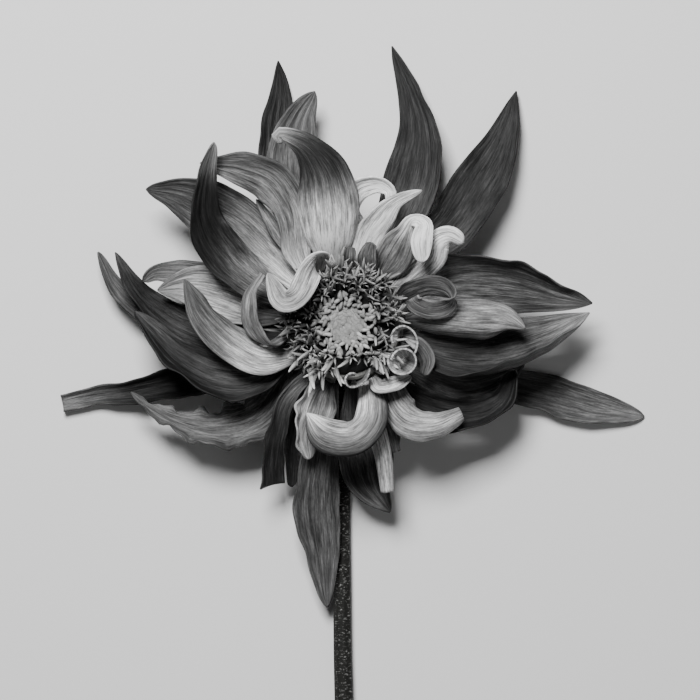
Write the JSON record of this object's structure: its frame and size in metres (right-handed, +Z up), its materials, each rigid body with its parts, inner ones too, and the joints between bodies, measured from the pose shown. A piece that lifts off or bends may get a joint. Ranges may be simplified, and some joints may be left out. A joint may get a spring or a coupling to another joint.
{
  "type": "dahlia flower",
  "caption": "A faded dahlia flower with its cut stem, lying on its back: long curled and pointed petals round a disc of small florets.",
  "frame": {"origin": "middle of the underside of the flower as it lies: the centre of its bounding box in X and Y, at the height of the surface", "axes": "+Z up, the way the flower's face looks; the stem runs out along -Y; +X is to the right when the flower is seen from above with its stem towards the viewer"},
  "size_m": [0.1176, 0.1614, 0.0274],
  "materials": {
    "petal": "soft satin, fine veins along the length, paler at the base",
    "disc_floret": "matt",
    "receptacle": "matt",
    "bract": "matt, veined",
    "stem": "dark, fine pale speckles in rows"
  },
  "bodies": {
    "root": {"arched_petal_top": "petal", "arching_petal_upper_left": "petal", "back_curl_petal_left": "petal", "back_petal_left": "petal", "back_petal_top": "petal", "boat_petal_bottom": "petal", "boat_petal_left": "petal", "boat_petal_right": "petal", "bract_1": "bract", "bract_2": "bract", "bract_3": "bract", "bract_4": "bract", "bract_5": "bract", "bract_6": "bract", "bract_7": "bract", "bract_8": "bract", "broad_petal_lower_left": "petal", "broad_petal_right": "petal", "broad_petal_upper_left": "petal", "crumpled_petal_bottom": "petal", "crumpled_petal_lower_right": "petal", "curled_petal_bottom": "petal", "dark_petal_right": "petal", "dark_petal_upper_left": "petal", "disc_florets": "disc_floret", "fan_petal_upper_right": "petal", "folded_petal_lower_right": "petal", "grey_petal_left": "petal", "hanging_petal_bottom": "petal", "hanging_petal_lower_left": "petal", "hook_petal_upper_right": "petal", "hooked_petal_top": "petal", "horned_petal_top": "petal", "lip_petal_lower_right": "petal", "lower_scroll_petal": "petal", "pointed_petal_left": "petal", "quill_petal_left": "petal", "quill_petal_right": "petal", "receptacle": "receptacle", "ridged_petal_top": "petal", "ring_petal_right": "petal", "rolled_petal_bottom": "petal", "rolled_petal_right": "petal", "scrap_petal_bottom": "petal", "short_petal_top_left": "petal", "short_petal_top_right": "petal", "side_ribbon_petal": "petal", "small_scroll_petal": "petal", "spear_petal_left": "petal", "stem": "stem", "strip_petal_lower_left": "petal", "strip_petal_upper_left": "petal", "tall_petal_top": "petal", "tall_petal_upper_right": "petal", "tongue_petal_right": "petal", "upper_scroll_petal": "petal", "wavy_ribbon_petal": "petal"}
  },
  "joints": []
}
